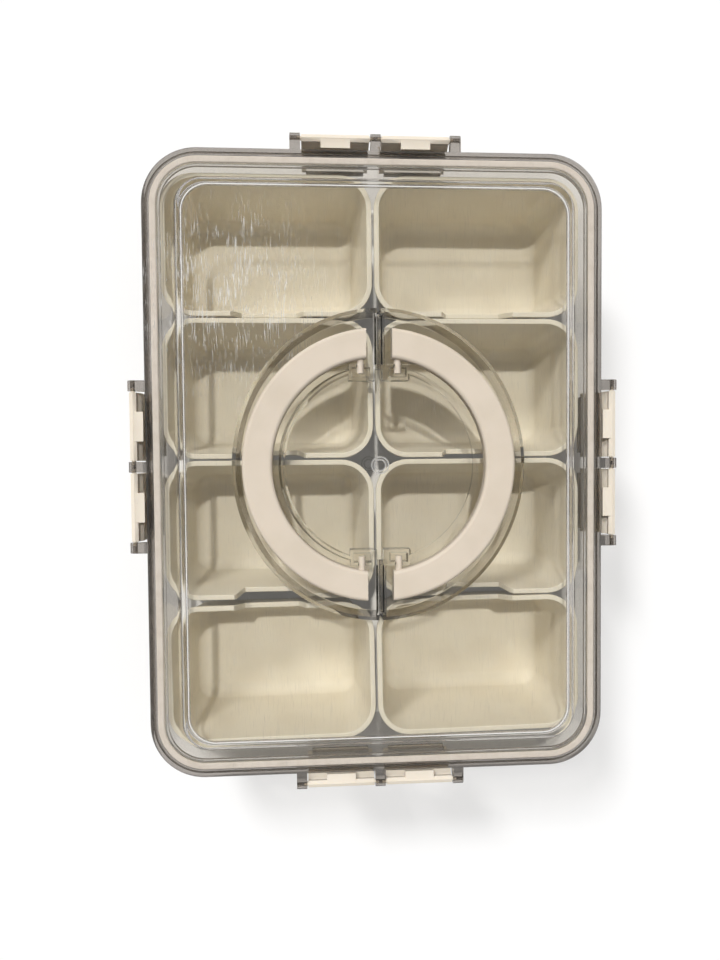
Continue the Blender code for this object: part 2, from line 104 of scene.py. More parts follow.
# Handle halves
handle_outer_radius = 69 * MM
handle_ring_width = 15.2 * MM
handle_thickness = 8 * MM
handle_edge_round = 2 * MM
handle_end_round = 1.2 * MM
handle_pivot_inset = 2.9 * MM
handle_pin_diameter = 3.6 * MM
handle_pin_end_gap = 1.7 * MM
handle_pin_root = 2 * MM
handle_end_x = -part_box("handle_left")[1].x
pivot_x = handle_end_x + handle_pivot_inset
pivot_z = plateau_top - handle_thickness / 2

# Troughs and pivot sockets in the lid
trough_side_gap = 2.8 * MM
trough_end_gap = 7.5 * MM
trough_inner_gap = 4.3 * MM
trough_ridge = 6.6 * MM
trough_lean = 1.6 * MM
trough_floor_gap = 0.7 * MM
trough_floor_round = 0.9 * MM
trough_corner_round = 2 * MM
socket_past_pivot = 6 * MM
socket_depth = 8 * MM
socket_ring_gap = 3.2 * MM
socket_drop = 0.5 * MM
socket_pin_gap = 0.3 * MM
socket_snap = 0.4 * MM
socket_round = 0.5 * MM
pocket_wall = 1.7 * MM
pocket_floor_wall = 1.2 * MM
handle_inner_radius = handle_outer_radius - handle_ring_width
trough_floor = plateau_top - handle_thickness - trough_floor_gap
socket_far = handle_inner_radius - socket_ring_gap
socket_near = socket_far - socket_depth
socket_start = trough_ridge / 4
socket_end = pivot_x + socket_past_pivot

# Clips and their knuckles
clip_length = 34.6 * MM
clip_end_gap = 0.5 * MM
clip_axis_out = 6 * MM
clip_pin_diameter = 2.2 * MM
clip_bevel = 0.3 * MM
knuckle_length = 5.4 * MM
knuckle_diameter = 5.2 * MM
knuckle_foot_gap = 0.1 * MM
knuckle_root = 1.5 * MM
knuckle_hole_gap = 0.3 * MM
clip_pitch = (knuckle_length + clip_length) / 2 + clip_end_gap
clip_axis_z = lid_seat + knuckle_diameter / 2 + knuckle_foot_gap

# Cups; the first one's box gives the size of all
cup_low, cup_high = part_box("cup_left_1")
cup_width = cup_high.x - cup_low.x
cup_length = cup_high.y - cup_low.y
cup_height = cup_high.z - cup_low.z
cup_corner_radius = 17 * MM
cup_wall = 1.8 * MM
cup_floor = 1.8 * MM
cup_lean = 6.4 * MM
cup_lip_width = 0.9 * MM
cup_lip_height = 2 * MM
cup_lip_round = 0.5 * MM
cup_bottom_round = 8 * MM
cup_notch_width = 28.6 * MM
cup_notch_ramp = 4.8 * MM
cup_notch_depth = 13 * MM
front_cups_turn = math.radians(0.7)

# Fineness of the meshes
corner_steps = 16
round_steps = 4
small_round_steps = 2
end_round_steps = 3
handle_section_steps = 6
ring_steps = 160
pin_steps = 24
notch_steps = 6
merge_distance = 0.002 * MM
flat_angle = math.radians(1)
smooth_angle = math.radians(40)
handle_end_angle = math.radians(60)

# Moulded plastic: sizes of its marks, the spans of noise that show them, and their strengths
cloud_size = 22 * MM
cloud_span = (0.35, 0.7)
cloud_roughness = 0.06
cloud_bump = 0.1
cloud_depth = 0.3 * MM
streak_size = 5 * MM
streak_span = (0.55, 0.75)
streak_roughness = 0.1
grain_size = 0.35 * MM
grain_bump = 0.048
grain_depth = 0.05 * MM
speck_size = 1.1 * MM
speck_span = (0.74, 0.78)
speck_share = 0.25
speck_shade_share = 0.7
glow_depth = 2 * MM

# Rubber
bloom_size = 6 * MM
bloom_span = (0.4, 0.7)
bloom_roughness = 0.15
rubber_roughness = 0.5
rubber_grain_size = 0.25 * MM
rubber_bump = 0.15

# Clear plastic; each set of scratches has a turn about z, a width and a share of the wear
scratch_sets = [(0.12, 0.4 * MM, 1), (0.9, 0.45 * MM, 0.6), (-0.45, 0.4 * MM, 0.8)]
scratch_span = (0.65, 0.68)
scratch_patch_size = 12 * MM
scratch_patch_span = (0.48, 0.56)
scratch_roughness = 0.3
scratch_bump = 0.15
scratch_depth = 0.01 * MM
rubbed_span = (62 * MM, 15 * MM)
unrubbed_share = 0.08
gate_mark_share = 0.35
scuffed_share = 0.75
clear_roughness = 0.015
haze_size = 18 * MM
haze_span = (0.5, 0.8)
haze_roughness = 0.03
ripple_size = 60 * MM
ripple_bump = 0.02
ripple_depth = 0.5 * MM
# Painted shade of clear plastic: where its faces count as seen edge-on, and how softly the
# darkening starts at the rim, standing in for the dark surroundings seen there
painted_edge_shade_span = (0.25, 0.85)
painted_rim_shade_blend = 0.3 * MM
shadow_slant_span = (0.35, 0.8)
shadow_share = 0.8

# Curve between a screen's values and amounts of light: straight at its foot, then a power
screen_full = 255
curve_foot = 0.04045
foot_slope = 12.92
curve_shift = 0.055
curve_power = 2.4


def rounded_rectangle(bm, level):
    """Loop of edges about the z axis: a square face with bevelled corners, its face taken out."""
    half_x, half_y, radius, z, _ = level
    before = set(bm.faces)
    square = bmesh.ops.create_grid(bm, x_segments=1, y_segments=1, size=1)["verts"]
    bmesh.ops.scale(bm, vec=(half_x, half_y, 1), verts=square)
    bmesh.ops.translate(bm, vec=(0, 0, z), verts=square)
    bmesh.ops.bevel(
        bm, geom=square, offset=radius, offset_type="OFFSET", segments=corner_steps,
        profile=0.5, affect="VERTICES", material=-1,
    )
    return faces_taken_out(bm, [face for face in bm.faces if face not in before])


def edges_of(parts, name):
    """All edges of some faces or corners, each one once and always in the same order."""
    return list(dict.fromkeys(edge for part in parts for edge in getattr(part, name)))


def faces_taken_out(bm, faces):
    """Delete faces and give back the edges that were round them."""
    edges = edges_of(faces, "edges")
    bmesh.ops.delete(bm, geom=faces, context="FACES_ONLY")
    return edges


def ellipse(bm, level):
    """Loop of edges about the z axis, from (half_x, half_y, z)."""
    half_x, half_y, z = level
    ring = bmesh.ops.create_circle(bm, segments=ring_steps, radius=1)["verts"]
    bmesh.ops.scale(bm, vec=(half_x, half_y, 1), verts=ring)
    bmesh.ops.translate(bm, vec=(0, 0, z), verts=ring)
    return edges_of(ring, "link_edges")


def skinned(draw, levels, closed=False):
    """Bridge each drawn level to the next, each pair by itself so that none is twisted."""
    following = levels[1:] + levels[:1] if closed else levels[1:]
    strips = []
    for level, after in zip(levels, following):
        strip = bmesh.new()
        bmesh.ops.bridge_loops(strip, edges=draw(strip, level) + draw(strip, after))
        strips.append(strip)
    if not closed:
        for end in (levels[0], levels[-1]):
            cap = bmesh.new()
            bmesh.ops.edgeloop_fill(cap, edges=draw(cap, end))
            strips.append(cap)
    return settled(gathered(strips))


def spot(corner):
    """A corner's place in whole steps of the merging distance, so that places compare."""
    return tuple(round(part / merge_distance) for part in corner.co)


def round_edges(bm, edges, radius, steps=round_steps):
    bmesh.ops.bevel(
        bm, geom=edges, offset=radius, offset_type="OFFSET", segments=steps, profile=0.5,
        affect="EDGES", clamp_overlap=True, material=-1,
    )


def rim_shell(levels, closed=False):
    """Skin rounded rectangles given as (half_x, half_y, radius, z, rounding)."""
    bm = skinned(rounded_rectangle, levels, closed)
    for level in levels:
        if level[-1] == 0:
            continue
        drawn = bmesh.new()
        rounded_rectangle(drawn, level)
        spots = {spot(corner) for corner in drawn.verts}
        drawn.free()
        ring = [edge for edge in bm.edges if all(spot(corner) in spots for corner in edge.verts)]
        round_edges(bm, ring, level[-1])
    return settled(bm)


def settled(bm):
    """Merge doubles and point all faces outward."""
    bmesh.ops.remove_doubles(bm, verts=bm.verts, dist=merge_distance)
    bmesh.ops.recalc_face_normals(bm, faces=bm.faces)
    return bm


def moved(bm, matrix):
    """Move, turn or mirror a whole bmesh, its faces still pointing outward."""
    bmesh.ops.transform(bm, matrix=matrix, verts=bm.verts)
    if matrix.determinant() < 0:
        bmesh.ops.reverse_faces(bm, faces=bm.faces)
    return bm


def block(low, high, rounding=0):
    """Box between two corners, its edges rounded a little."""
    bm = bmesh.new()
    bmesh.ops.create_cube(bm, size=1)
    low = Vector(low)
    high = Vector(high)
    bmesh.ops.scale(bm, vec=high - low, verts=bm.verts)
    bmesh.ops.translate(bm, vec=(low + high) / 2, verts=bm.verts)
    if rounding:
        round_edges(bm, list(bm.edges), rounding, small_round_steps)
    return bm


def rod(diameter, start, end, rounding=0):
    """Round pin from start to end."""
    bm = bmesh.new()
    start = Vector(start)
    end = Vector(end)
    bmesh.ops.create_cone(
        bm, cap_ends=True, segments=pin_steps, radius1=diameter / 2, radius2=diameter / 2,
        depth=(end - start).length,
    )
    if rounding:
        rims = [
            edge for edge in bm.edges if abs(edge.verts[0].co.z - edge.verts[1].co.z) < rounding
        ]
        round_edges(bm, rims, rounding, small_round_steps)
    turn = (end - start).to_track_quat("Z", "Y").to_matrix().to_4x4()
    return moved(bm, Matrix.Translation((start + end) / 2) @ turn)


def half_trough(grow, levels):
    """Solid of the left trough: elliptic outside, round inside, cut off along the ridge.

    It is larger by grow all round. levels lists (z, lean) from the open top down to the floor.
    """
    half_width = handle_outer_radius + trough_side_gap + grow
    half_length = handle_outer_radius + trough_end_gap + grow
    island = handle_inner_radius - trough_inner_gap - grow
    outer = [(half_width - lean, half_length - lean, z) for z, lean in levels]
    inner = [(island + lean, island + lean, z) for z, lean in levels]
    bm = skinned(ellipse, outer + inner[::-1], closed=True)
    top_z, top_lean = levels[0]
    low_z, low_lean = levels[-1]
    flat = -trough_ridge / 2 + grow
    slant = Vector((top_z - low_z, 0, low_lean - top_lean)).normalized()
    cut = bmesh.ops.bisect_plane(
        bm, geom=bm.verts[:] + bm.edges[:] + bm.faces[:], plane_co=(flat - top_lean, 0, top_z),
        plane_no=slant, clear_outer=True,
    )
    rim = [part for part in cut["geom_cut"] if isinstance(part, bmesh.types.BMEdge)]
    bmesh.ops.holes_fill(bm, edges=rim)
    settled(bm)
    upright = [edge for edge in bm.edges if upright_corner(edge)]
    round_edges(bm, upright, trough_corner_round)
    low_edges = [
        edge for edge in bm.edges
        if all(abs(corner.co.z - low_z) < merge_distance for corner in edge.verts)
        and edge.calc_face_angle(0) > smooth_angle
    ]
    round_edges(bm, low_edges, trough_floor_round, end_round_steps)
    return settled(bm)


def upright_corner(edge):
    """True for an edge that runs down the wall where the ring's side meets its flat end."""
    rise = abs(edge.verts[0].co.z - edge.verts[1].co.z)
    return rise > edge.calc_length() / 2 and edge.calc_face_angle(0) > smooth_angle


def latch_rib():
    """One latch rib on the back side, from its outline of (outward, z) points."""
    low = clip_axis_z - catch_drop
    wall_inset = base_wall_inset + (base_height - low) * math.tan(base_draft)
    wall = -wall_inset - latch_rib_root
    out = latch_rib_out - wall_inset
    run = catch_overlap + fit_gap
    fall = run * math.tan(catch_slope)
    rise = latch_rib_out * math.tan(catch_slope) / 2
    outline = [
        (wall, low - fall),
        (out - run, low - fall),
        (out, low),
        (out, low + latch_rib_face),
        (wall, low + latch_rib_face + rise),
    ]
    bm = bmesh.new()
    bm.faces.new([bm.verts.new((-latch_rib_length / 2, y, z)) for y, z in outline])
    return drawn_out(bm, latch_rib_length)


def drawn_out(bm, length):
    """Extrude a bmesh's one face by length along the side, and round the sharp edges a little."""
    grown = bmesh.ops.extrude_face_region(bm, geom=bm.faces[:])["geom"]
    ends = [part for part in grown if isinstance(part, bmesh.types.BMVert)]
    bmesh.ops.translate(bm, vec=(length, 0, 0), verts=ends)
    settled(bm)
    sharp = [edge for edge in bm.edges if edge.calc_face_angle(0) > smooth_angle]
    round_edges(bm, sharp, small_round, small_round_steps)
    return bm


def knuckle():
    """One lug with a round end about the clips' axis, on the back side."""
    radius = knuckle_diameter / 2
    bm = bmesh.new()
    foot = bm.verts.new((-knuckle_length / 2, -knuckle_root, clip_axis_z - radius))
    turn = bm.verts.new((-knuckle_length / 2, clip_axis_out, clip_axis_z - radius))
    bm.edges.new((foot, turn))
    bmesh.ops.spin(
        bm, geom=[turn], cent=(0, clip_axis_out, clip_axis_z), axis=(1, 0, 0),
        angle=math.pi, steps=pin_steps // 2, use_duplicate=False,
    )
    head = bm.verts.new((-knuckle_length / 2, -knuckle_root, clip_axis_z + radius))
    last = max(
        (corner for corner in bm.verts if len(corner.link_edges) == 1 and corner is not foot),
        key=lambda corner: corner.co.z,
    )
    bm.edges.new((last, head))
    bm.edges.new((head, foot))
    bmesh.ops.edgeloop_fill(bm, edges=bm.edges)
    return drawn_out(bm, knuckle_length)


def on_side(bm, side, along):
    """Turn a shape made on the back side, with +Y outward, to its side of the box."""
    half = lid_half_y if side in ("back", "front") else lid_half_x
    place = Matrix.Rotation(math.radians(SIDES[side]), 4, "Z")
    return moved(bm, place @ Matrix.Translation((along, half, 0)))


def gathered(parts):
    """Put several bmeshes in one."""
    whole = bmesh.new()
    for part in parts:
        mesh = bpy.data.meshes.new("part")
        part.to_mesh(mesh)
        part.free()
        whole.from_mesh(mesh)
        bpy.data.meshes.remove(mesh)
    return whole


def in_quarters(make):
    """Four mirrored copies of what make() models in the +X, +Y quarter."""
    parts = []
    for side_x in (1, -1):
        for side_y in (1, -1):
            parts.append(moved(make(), Matrix.Diagonal((side_x, side_y, 1, 1))))
    return gathered(parts)


def as_object(name, bm):
    """Make an object of a bmesh, at the origin."""
    mesh = bpy.data.meshes.new(name)
    bm.to_mesh(mesh)
    bm.free()
    made = bpy.data.objects.new(name, mesh)
    bpy.context.scene.collection.objects.link(made)
    return made


def carved(piece, steps):
    """Apply Boolean steps of (operation, bmesh) to a piece, one after the other."""
    for operation, bm in steps:
        tool = as_object("tool", bm)
        step = piece.modifiers.new("step", "BOOLEAN")
        step.operation = operation
        step.solver = "EXACT"
        step.object = tool
        made = bpy.data.meshes.new_from_object(
            piece.evaluated_get(bpy.context.evaluated_depsgraph_get())
        )
        piece.modifiers.clear()
        piece.data = made
        bpy.data.objects.remove(tool)
    return piece


def finished(piece, finish, body, slot, *nodes):
    """Smooth a piece, give it its finish, and put it on its body in place of its nodes."""
    piece.data.materials.clear()
    piece.data.materials.append(finish)
    piece.data.shade_smooth()
    piece.data.set_sharp_from_angle(angle=smooth_angle)
    level = piece.modifiers.new("even shading", "WEIGHTED_NORMAL")
    level.keep_sharp = True
    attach(piece, body)
    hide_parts(*nodes)
    return piece


def base_levels():
    """Loops of the base, from its underside up the outside and down inside to its floor."""
    def draft(z):
        return base_wall_inset + (base_height - z) * math.tan(base_draft)

    underside = base_height - base_rim_thickness
    sections = [
        (draft(0), 0, base_bottom_round),
        (draft(underside), underside, base_rim_round / 2),
        (base_rim_inset, underside, base_rim_round),
        (base_rim_inset, base_height, base_rim_round),
        (base_wall_inset + base_wall, base_height, base_rim_round / 2),
        (draft(base_floor) + base_wall, base_floor, base_floor_round),
    ]
    return [rim_level(inset, z, rounding) for inset, z, rounding in sections]


def rim_level(inset, z, rounding, least_radius=0):
    """One rounded rectangle for rim_shell, inset from the lid's outer edge."""
    radius = max(lid_corner_radius - inset, least_radius)
    return (lid_half_x - inset, lid_half_y - inset, radius, z, rounding)


def lid_levels():
    """Loops of the lid, from the raised middle's underside round the skirt to its top."""
    groove = skirt_wall + seal_width + 2 * fit_gap
    rib_end = groove + seal_rib_wall
    rib_tip = band_underside - seal_rib_height
    top_inset = plateau_inset + plateau_lean
    sections = [
        (top_inset + lid_wall, plateau_top - lid_wall, plateau_round),
        (plateau_inset + lid_wall, band_underside, plateau_round / 2),
        (rib_end, band_underside, small_round),
        (rib_end, rib_tip, small_round),
        (groove, rib_tip, small_round),
        (groove, band_underside, small_round),
        (skirt_wall, band_underside, small_round),
        (skirt_wall, lid_seat, small_round),
        (0, lid_seat, small_round),
        (0, band_top, band_edge_round),
        (plateau_inset, band_top, plateau_round),
        (top_inset, plateau_top, plateau_round),
    ]
    return [
        rim_level(inset, z, rounding, plateau_corner_radius) for inset, z, rounding in sections
    ]


def mark_rings():
    """Two shallow round grooves, one in the other, for the middle of the lid."""
    bm = bmesh.new()
    for radius in (mark_radius, mark_radius - 2 * mark_width):
        section = bmesh.ops.create_circle(
            bm, segments=round_steps * 2, radius=mark_width / 2, cap_ends=False
        )["verts"]
        bmesh.ops.rotate(bm, verts=section, matrix=Matrix.Rotation(math.pi / 2, 3, "X"))
        bmesh.ops.scale(bm, verts=section, vec=(1, 1, 2 * mark_height / mark_width))
        bmesh.ops.translate(bm, verts=section, vec=(radius, 0, plateau_top))
        edges = edges_of(section, "link_edges")
        bmesh.ops.spin(
            bm, geom=section + edges, cent=(0, 0, 0), axis=(0, 0, 1), angle=2 * math.pi,
            steps=2 * pin_steps, use_merge=True,
        )
    return settled(bm)


def make_lid(finish):
    """The lid's shell with its knuckles, its two troughs and the four pivot sockets in them."""
    trough_levels = [
        (plateau_top + overrun, -overrun * trough_lean / handle_thickness),
        (plateau_top, 0),
        (trough_floor, trough_lean),
    ]
    tub_levels = [
        (plateau_top - lid_wall / 2, 0),
        (trough_floor - lid_wall, trough_lean),
    ]
    mirror = Matrix.Scale(-1, 4, (1, 0, 0))

    def both_troughs(grow, levels):
        return gathered([half_trough(grow, levels), moved(half_trough(grow, levels), mirror)])

    def socket():
        low = (socket_start, socket_near, trough_floor - lid_wall + socket_drop)
        high = (socket_end, socket_far, plateau_top - socket_drop)
        return block(low, high, socket_round)

    def pocket():
        low = (
            handle_end_x - pocket_wall, socket_near + pocket_wall,
            trough_floor + pocket_floor_wall,
        )
        high = (socket_end - pocket_wall, socket_far - pocket_wall, plateau_top + overrun)
        return block(low, high)

    def pin_hole():
        diameter = handle_pin_diameter + 2 * socket_pin_gap
        start = (pivot_x, socket_far - pocket_wall - overrun / 2, pivot_z)
        return rod(diameter, start, (pivot_x, socket_far + overrun / 2, pivot_z))

    def pin_slot():
        half = (handle_pin_diameter - socket_snap) / 2
        low = (pivot_x - half, socket_far - pocket_wall - overrun / 2, pivot_z)
        return block(low, (pivot_x + half, socket_far + overrun / 2, plateau_top + overrun))

    knuckles = []
    holes = []
    reach = knuckle_length / 2 + overrun / 2
    for side in SIDES:
        for along in (-2 * clip_pitch, 0, 2 * clip_pitch):
            knuckles.append(on_side(knuckle(), side, along))
            hole = rod(
                clip_pin_diameter + 2 * knuckle_hole_gap,
                (-reach, clip_axis_out, clip_axis_z), (reach, clip_axis_out, clip_axis_z),
            )
            holes.append(on_side(hole, side, along))
    piece = carved(as_object("lid_clear", rim_shell(lid_levels())), [
        ("UNION", gathered(knuckles)),
        ("DIFFERENCE", gathered(holes)),
        ("UNION", both_troughs(lid_wall, tub_levels)),
        ("DIFFERENCE", both_troughs(0, trough_levels)),
        ("UNION", in_quarters(socket)),
        ("DIFFERENCE", in_quarters(pocket)),
        ("DIFFERENCE", in_quarters(pin_hole)),
        ("DIFFERENCE", in_quarters(pin_slot)),
        ("DIFFERENCE", mark_rings()),
    ])
    return finished(piece, finish, "lid", "clear_plastic", "lid_shell")


def make_base(finish):
    """The base box with two latch ribs on each side."""
    ribs = []
    for side in SIDES:
        for along in (-clip_pitch, clip_pitch):
            ribs.append(on_side(latch_rib(), side, along))
    piece = carved(as_object("base_clear", rim_shell(base_levels())), [("UNION", gathered(ribs))])
    return finished(piece, finish, "base", "clear_plastic", "base_box")


def make_seal(finish):
    """The soft ring in the lid's groove."""
    near = skirt_wall + fit_gap
    far = near + seal_width
    low = seal_low.z
    high = seal_high.z
    levels = [
        rim_level(near, low, seal_round),
        rim_level(far, low, seal_round),
        rim_level(far, high, seal_round),
        rim_level(near, high, seal_round),
    ]
    piece = as_object("seal_ring", rim_shell(levels, closed=True))
    return finished(piece, finish, "lid", "silicone", "lid_gasket")


def make_handle(name, node, finish, side):
    """One half of the handle: a spun ring cut off at its flat ends, with its pivot pins.

    It is modelled on the +X side; side is 1 there and -1 for the mirrored half.
    """
    bm = bmesh.new()
    section = bmesh.ops.create_grid(bm, x_segments=1, y_segments=1, size=1)["verts"]
    size = (handle_ring_width / 2, handle_thickness / 2, 1)
    bmesh.ops.scale(bm, vec=size, verts=section)
    bmesh.ops.bevel(
        bm, geom=section, offset=handle_edge_round, offset_type="OFFSET",
        segments=handle_section_steps, profile=0.5, affect="VERTICES", material=-1,
    )
    turn = Matrix.Rotation(math.pi / 2, 4, "X")
    middle = handle_outer_radius - handle_ring_width / 2
    moved(bm, Matrix.Translation((middle, 0, pivot_z)) @ turn)
    edges = faces_taken_out(bm, list(bm.faces))
    bmesh.ops.spin(
        bm, geom=bm.verts[:] + edges, cent=(0, 0, 0), axis=(0, 0, 1), angle=2 * math.pi,
        steps=ring_steps, use_merge=True,
    )
    settled(bm)
    cut = bmesh.ops.bisect_plane(
        bm, geom=bm.verts[:] + bm.edges[:] + bm.faces[:],
        plane_co=(handle_end_x, 0, 0), plane_no=(1, 0, 0), clear_inner=True,
    )
    rim = [part for part in cut["geom_cut"] if isinstance(part, bmesh.types.BMEdge)]
    bmesh.ops.holes_fill(bm, edges=rim)
    ends = [edge for edge in bm.edges if edge.calc_face_angle(0) > handle_end_angle]
    round_edges(bm, ends, handle_end_round, end_round_steps)
    settled(bm)
    root = math.sqrt(handle_inner_radius**2 - pivot_x**2) + handle_pin_root
    reach = socket_near + pocket_wall + handle_pin_end_gap
    pins = [
        rod(
            handle_pin_diameter, (pivot_x, end * root, pivot_z), (pivot_x, end * reach, pivot_z),
            small_round,
        )
        for end in (-1, 1)
    ]
    place = Matrix.Scale(side, 4, (1, 0, 0))
    piece = carved(as_object(name, moved(bm, place)), [("UNION", moved(gathered(pins), place))])
    return finished(piece, finish, node, "handle_plastic", node)


def make_clip(node, finish):
    """A clip from the frame, its doubles merged and its edges rounded."""
    bm = bmesh.new()
    bm.from_mesh(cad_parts[node].data)
    bmesh.ops.remove_doubles(bm, verts=bm.verts, dist=merge_distance)
    bmesh.ops.dissolve_limit(
        bm, angle_limit=flat_angle, verts=bm.verts, edges=bm.edges, delimit={"NORMAL"}
    )
    piece = as_object(node + "_moulded", bm)
    bevel = piece.modifiers.new("edges", "BEVEL")
    bevel.width = clip_bevel
    bevel.segments = small_round_steps
    bevel.limit_method = "ANGLE"
    bevel.angle_limit = smooth_angle
    return finished(piece, finish, node, "clip_plastic", node)


def notch_fall(x):
    """How much lower the cup's rim is at x on its notched side."""
    past = (abs(x) - cup_notch_width / 2) / cup_notch_ramp
    share = min(max(past, 0), 1)
    return cup_notch_depth * (1 - share * share * (3 - 2 * share))


def cup_shape():
    """One cup, standing on z = 0, with its finger notch on the -Y side."""
    lean = cup_lean / cup_height
    outer_low = cup_lip_width + cup_lean
    inner_low = outer_low + cup_wall - cup_floor * lean
    inner_top = cup_lip_width + cup_wall
    lip_low = cup_height - cup_lip_height
    wall_under_lip = cup_lip_width + cup_lip_height * lean
    sections = [
        (outer_low, 0, cup_bottom_round),
        (wall_under_lip, lip_low, 0),
        (0, lip_low, cup_lip_round / 2),
        (0, cup_height, cup_lip_round),
        (inner_top, cup_height, cup_lip_round),
        (inner_low, cup_floor, cup_bottom_round - cup_wall / 2),
    ]
    levels = []
    for inset, z, rounding in sections:
        radius = max(cup_corner_radius - inset, cup_bottom_round)
        levels.append((cup_width / 2 - inset, cup_length / 2 - inset, radius, z, rounding))
    bm = rim_shell(levels)
    start = cup_notch_width / 2
    for step in range(notch_steps + 1):
        for sign in (-1, 1):
            bmesh.ops.bisect_plane(
                bm, geom=bm.verts[:] + bm.edges[:] + bm.faces[:], plane_no=(1, 0, 0),
                plane_co=(sign * (start + cup_notch_ramp * step / notch_steps), 0, 0),
            )
    notch_side = -cup_length / 2 + cup_corner_radius
    for corner in bm.verts:
        if corner.co.z > cup_height / 2 and corner.co.y < notch_side:
            fall = notch_fall(corner.co.x)
            corner.co.z -= fall
            corner.co.y += fall * lean
    return bm


def make_cup(name, finish):
    """A cup in its place; the front row's are turned half round, and a little more."""
    low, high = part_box(name)
    middle = (low + high) / 2
    place = Matrix.Translation((middle.x, middle.y, low.z))
    if name.endswith("4"):
        place = place @ Matrix.Rotation(math.pi + front_cups_turn, 4, "Z")
    piece = as_object(name + "_moulded", moved(cup_shape(), place))
    return finished(piece, finish, name, "cup_plastic", name)


class Value:
    """What a socket gives; sums and products of numbers that change over a surface add nodes."""

    def __init__(self, finish, socket):
        self.finish = finish
        self.socket = socket

    def maths(self, operation, first, second):
        return self.finish.add("Math", {"operation": operation}, {0: first, 1: second})

    def __add__(self, other):
        return self.maths("ADD", self, other)

    def __radd__(self, other):
        return self.maths("ADD", other, self)

    def __sub__(self, other):
        return self.maths("SUBTRACT", self, other)

    def __rsub__(self, other):
        return self.maths("SUBTRACT", other, self)

    def __mul__(self, other):
        return self.maths("MULTIPLY", self, other)

    def __rmul__(self, other):
        return self.maths("MULTIPLY", other, self)


# Sockets of a Mix node when it mixes colours
MIX_FIRST = 6
MIX_SECOND = 7
MIX_RESULT = 2


class Finish:
    """The node tree of a material or of the surroundings, built up node by node."""

    def __init__(self, owner):
        owner.use_nodes = True
        self.owner = owner
        self.tree = owner.node_tree
        self.tree.nodes.clear()
        self.place = self.add("TexCoord", output="Object")

    def add(self, kind, settings=None, sockets=None, output=0):
        """Add a node: its settings or a ramp's stops first, then its sockets' values or links."""
        node = self.tree.nodes.new("ShaderNode" + kind)
        for name, setting in (settings or {}).items():
            if name == "stops":
                self.set_stops(node.color_ramp.elements, setting)
            else:
                setattr(node, name, setting)
        for name, value in (sockets or {}).items():
            socket = node.inputs[name]
            if isinstance(value, Value):
                self.tree.links.new(value.socket, socket)
            else:
                socket.default_value = value
        outputs = node.outputs
        return Value(self, outputs[output]) if len(outputs) else node

    def set_stops(self, elements, stops):
        """Give a colour ramp its stops of (position, colour)."""
        while len(elements) < len(stops):
            elements.new(1)
        for element, (position, shade) in zip(elements, stops):
            element.position = position
            element.color = shade

    def noise(self, size, detail=2, roughness=0.5, stretch=(1, 1, 1), turn=0, distortion=0):
        """Noise whose features are about size metres across, stretched and turned about z."""
        turned = self.add(
            "Mapping", {}, {"Vector": self.place, "Scale": stretch, "Rotation": (0, 0, turn)}
        )
        return self.add("TexNoise", {}, {
            "Vector": turned, "Scale": 1 / size, "Detail": detail, "Roughness": roughness,
            "Distortion": distortion,
        })

    def band(self, value, low, high):
        """0 at low and 1 at high, with a smooth step between."""
        return self.add(
            "MapRange", {"interpolation_type": "SMOOTHSTEP"},
            {"Value": value, "From Min": low, "From Max": high},
        )

    def vector(self, operation, first, second=(0, 0, 0), output=0):
        return self.add("VectorMath", {"operation": operation}, {0: first, 1: second}, output)

    def mix(self, factor, first, second):
        """The first colour where factor is 0 and the second where it is 1."""
        return self.add(
            "Mix", {"data_type": "RGBA"}, {0: factor, MIX_FIRST: first, MIX_SECOND: second},
            MIX_RESULT,
        )

    def bump(self, height, strength, distance, under=None):
        """Relief from a height, on top of the relief given as under."""
        sockets = {"Height": height, "Strength": strength, "Distance": distance}
        if under:
            sockets["Normal"] = under
        return self.add("Bump", {}, sockets)

    def surface(self, shader):
        """Put the shader on the material, and give the material back."""
        self.add("OutputMaterial", {}, {"Surface": shader})
        return self.owner


def colour(red, green, blue):
    """A colour given as its 0 to 255 screen values."""
    def linear(part):
        part = part / screen_full
        if part <= curve_foot:
            return part / foot_slope
        return ((part + curve_shift) / (1 + curve_shift)) ** curve_power

    return (linear(red), linear(green), linear(blue), 1)


def moulded_plastic(name, shade, worn, roughness):
    """Opaque satin plastic: slight clouding, fine grain, dark specks and faint rubbed streaks."""
    finish = Finish(bpy.data.materials.new(name))
    clouds = finish.noise(cloud_size, detail=3)
    streaks = finish.noise(streak_size, detail=4, roughness=0.6, stretch=(1, 4, 1), turn=0.4)
    rubbed = finish.band(streaks, *streak_span)
    fine = finish.noise(grain_size)
    specks = finish.band(finish.noise(speck_size, detail=1), *speck_span)
    speck_shade = tuple(part * speck_shade_share for part in worn[:3]) + (1,)
    tone = finish.mix(finish.band(clouds, *cloud_span), shade, worn)
    tone = finish.mix(specks * speck_share, tone, speck_shade)
    gloss = roughness + streak_roughness * rubbed + cloud_roughness * clouds
    relief = finish.bump(fine, grain_bump, grain_depth)
    relief = finish.bump(clouds, cloud_bump, cloud_depth, relief)
    return finish.surface(finish.add("BsdfPrincipled", {}, {
        "Base Color": tone, "Roughness": gloss, "Normal": relief, "IOR": 1.5,
        "Subsurface Weight": 0.08, "Subsurface Radius": (1, 0.8, 0.5),
        "Subsurface Scale": glow_depth,
    }))


def soft_rubber(name, shade, dusty):
    """Matt sealing rubber with a slight bloom."""
    finish = Finish(bpy.data.materials.new(name))
    bloom = finish.band(finish.noise(bloom_size, detail=4, roughness=0.6), *bloom_span)
    fine = finish.noise(rubber_grain_size)
    tone = finish.mix(bloom, shade, dusty)
    return finish.surface(finish.add("BsdfPrincipled", {}, {
        "Base Color": tone, "Roughness": rubber_roughness + bloom_roughness * bloom,
        "Normal": finish.bump(fine, rubber_bump, grain_depth), "IOR": 1.42,
    }))


